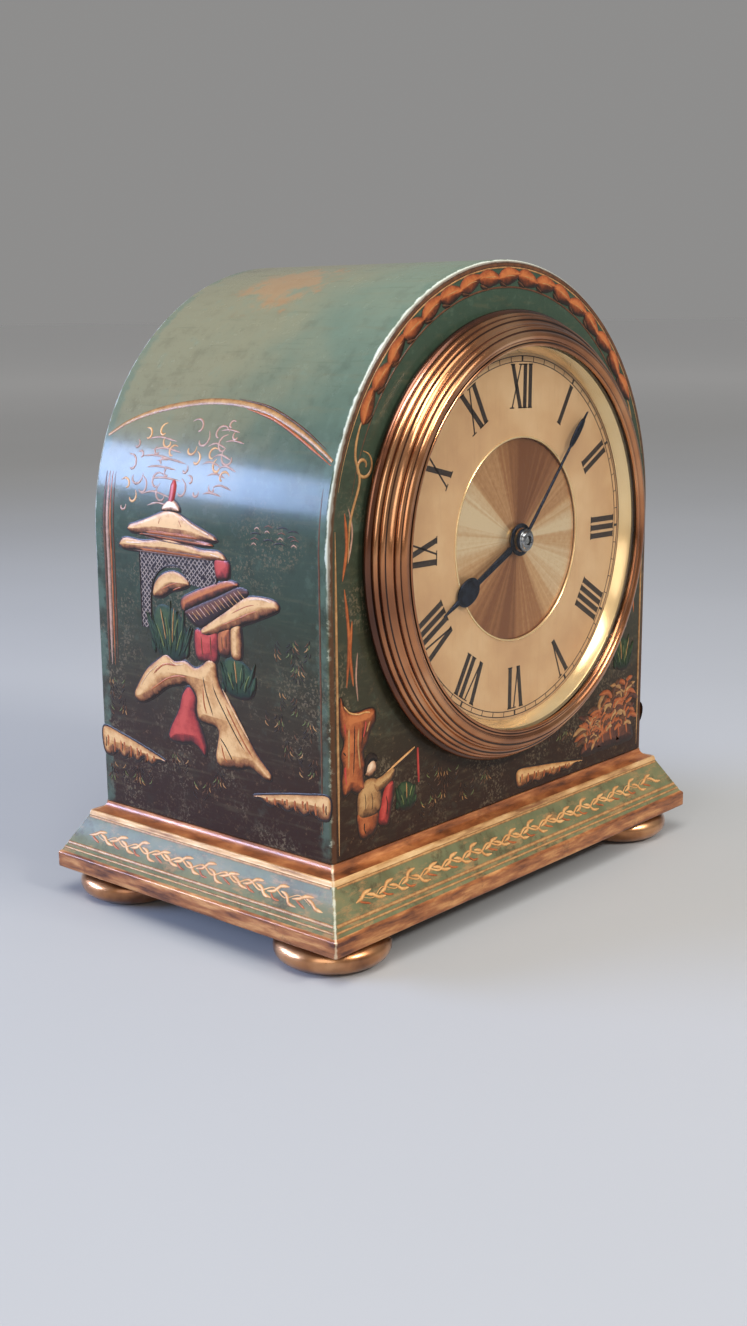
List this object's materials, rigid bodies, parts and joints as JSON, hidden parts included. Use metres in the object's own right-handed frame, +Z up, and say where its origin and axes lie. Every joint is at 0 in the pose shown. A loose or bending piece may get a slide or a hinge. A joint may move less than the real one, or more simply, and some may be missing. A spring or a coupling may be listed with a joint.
{
  "type": "mantel timepiece",
  "caption": "Dome-topped lacquered mantel clock on a moulded plinth with bun feet, round stepped brass bezel, and a spring movement wound and set from behind.",
  "frame": {"origin": "on the table, under the middle of the case", "axes": "+Z up, +Y from the dial to the back, +X to the right of someone facing the dial"},
  "size_m": [0.16, 0.105, 0.171],
  "materials": {
    "green_lacquer": "glossy dark green lacquer over wood, with raised gilt ornament",
    "frieze_green": "sage green lacquer over wood, with gilt lines",
    "bare_wood": "bare dark-stained wood",
    "brass": "polished and lacquered coppery brass",
    "gilt_dial": "engine-turned gilt",
    "silvered_ring": "matt champagne silvering, aged",
    "glass": "clear flat glass",
    "steel": "bright steel",
    "blued_steel": "blued steel"
  },
  "bodies": {
    "case": {"case_shell": "green_lacquer", "front_panel": "green_lacquer", "back_panel": "green_lacquer", "plinth": "frieze_green", "base_board": "bare_wood", "foot_front_left": "brass", "foot_front_right": "brass", "foot_back_left": "brass", "foot_back_right": "brass", "front_bezel": "brass", "bezel_glass": "glass", "sight_ring": "brass", "chapter_ring": "silvered_ring", "dial_plate": "gilt_dial", "front_plate": "brass", "back_plate": "brass", "pillar_1": "brass", "pillar_2": "brass", "pillar_3": "brass", "pillar_4": "brass", "movement_strap_left": "brass", "movement_strap_right": "brass", "rear_bezel": "brass", "hinge_pin": "steel", "escapement_platform": "brass", "escape_bridge": "brass", "balance_cock": "brass", "balance_spring": "blued_steel", "click_spring": "steel"},
    "minute_hand_work": {"centre_arbor": "steel", "cannon_pinion": "steel", "minute_hand": "blued_steel", "hand_collet": "steel", "set_knob": "brass"},
    "hour_hand_work": {"hour_wheel": "brass", "hour_hand": "blued_steel"},
    "minute_wheel_work": {"minute_wheel": "brass"},
    "centre": {"centre_wheel": "brass"},
    "intermediate": {"intermediate_arbor": "steel", "intermediate_wheel": "brass"},
    "spring_barrel": {"barrel": "brass", "barrel_cover": "brass", "mainspring": "steel"},
    "winding": {"barrel_arbor": "steel", "ratchet_wheel": "steel", "winding_key": "brass"},
    "third": {"third_arbor": "steel", "third_wheel": "brass"},
    "fourth": {"fourth_arbor": "steel", "fourth_wheel": "brass"},
    "escape": {"escape_arbor": "steel", "escape_wheel": "brass"},
    "pallets": {"pallet_lever": "steel"},
    "balance": {"balance_wheel": "brass"},
    "click_pawl": {"click": "steel"},
    "regulator": {"regulator_index": "steel"},
    "door": {"rear_door": "brass", "door_knob": "brass"}
  },
  "joints": [
    {"name": "minute_turn", "type": "hinge", "parent": "case", "child": "minute_hand_work", "pos_m": [0, 0, 0.0992], "axis": [0, 1, 0], "continuous": true},
    {"name": "hour_turn", "type": "hinge", "parent": "case", "child": "hour_hand_work", "pos_m": [0, 0, 0.0992], "axis": [0, 1, 0], "continuous": true},
    {"name": "minute_wheel_turn", "type": "hinge", "parent": "case", "child": "minute_wheel_work", "pos_m": [0.00819, 0, 0.10494], "axis": [0, 1, 0], "continuous": true},
    {"name": "fourth_turn", "type": "hinge", "parent": "case", "child": "fourth", "pos_m": [-0.00801, 0, 0.11948], "axis": [0, 1, 0], "continuous": true},
    {"name": "third_turn", "type": "hinge", "parent": "case", "child": "third", "pos_m": [-0.01403, 0, 0.1073], "axis": [0, 1, 0], "continuous": true},
    {"name": "centre_turn", "type": "hinge", "parent": "case", "child": "centre", "pos_m": [0, 0, 0.0992], "axis": [0, 1, 0], "continuous": true},
    {"name": "intermediate_turn", "type": "hinge", "parent": "case", "child": "intermediate", "pos_m": [0.01354, 0, 0.08812], "axis": [0, 1, 0], "continuous": true},
    {"name": "barrel_turn", "type": "hinge", "parent": "case", "child": "spring_barrel", "pos_m": [-0.00399, 0, 0.07656], "axis": [0, 1, 0], "continuous": true},
    {"name": "escape_turn", "type": "hinge", "parent": "case", "child": "escape", "pos_m": [0.00387, 0, 0.1198], "axis": [0, 1, 0], "continuous": true},
    {"name": "winding_turn", "type": "hinge", "parent": "case", "child": "winding", "pos_m": [-0.00399, 0, 0.07656], "axis": [0, 1, 0], "continuous": true},
    {"name": "click_lift", "type": "hinge", "parent": "case", "child": "click_pawl", "pos_m": [-0.0128, 0, 0.08395], "axis": [0, 1, 0], "range_deg": [-12, 0]},
    {"name": "pallet_rock", "type": "hinge", "parent": "case", "child": "pallets", "pos_m": [0.01123, 0, 0.1217], "axis": [0, 1, 0], "range_deg": [-5, 5]},
    {"name": "balance_swing", "type": "hinge", "parent": "case", "child": "balance", "pos_m": [0.01955, 0, 0.12421], "axis": [0, 1, 0], "range_deg": [-135, 135]},
    {"name": "regulator_shift", "type": "hinge", "parent": "case", "child": "regulator", "pos_m": [0.01955, 0, 0.12421], "axis": [0, 1, 0], "range_deg": [-25, 25]},
    {"name": "door_swing", "type": "hinge", "parent": "case", "child": "door", "pos_m": [-0.0505, 0.0464, 0.0992], "axis": [0, 0, 1], "range_deg": [0, 110]}
  ],
  "couplings": [
    {"joint": "hour_turn", "follows": "minute_turn", "ratio": 0.083333},
    {"joint": "minute_wheel_turn", "follows": "minute_turn", "ratio": -0.33333},
    {"joint": "third_turn", "follows": "fourth_turn", "ratio": -0.13333},
    {"joint": "centre_turn", "follows": "fourth_turn", "ratio": 0.016667},
    {"joint": "intermediate_turn", "follows": "fourth_turn", "ratio": -0.0027778},
    {"joint": "barrel_turn", "follows": "fourth_turn", "ratio": 0.00046296},
    {"joint": "escape_turn", "follows": "fourth_turn", "ratio": -8}
  ]
}
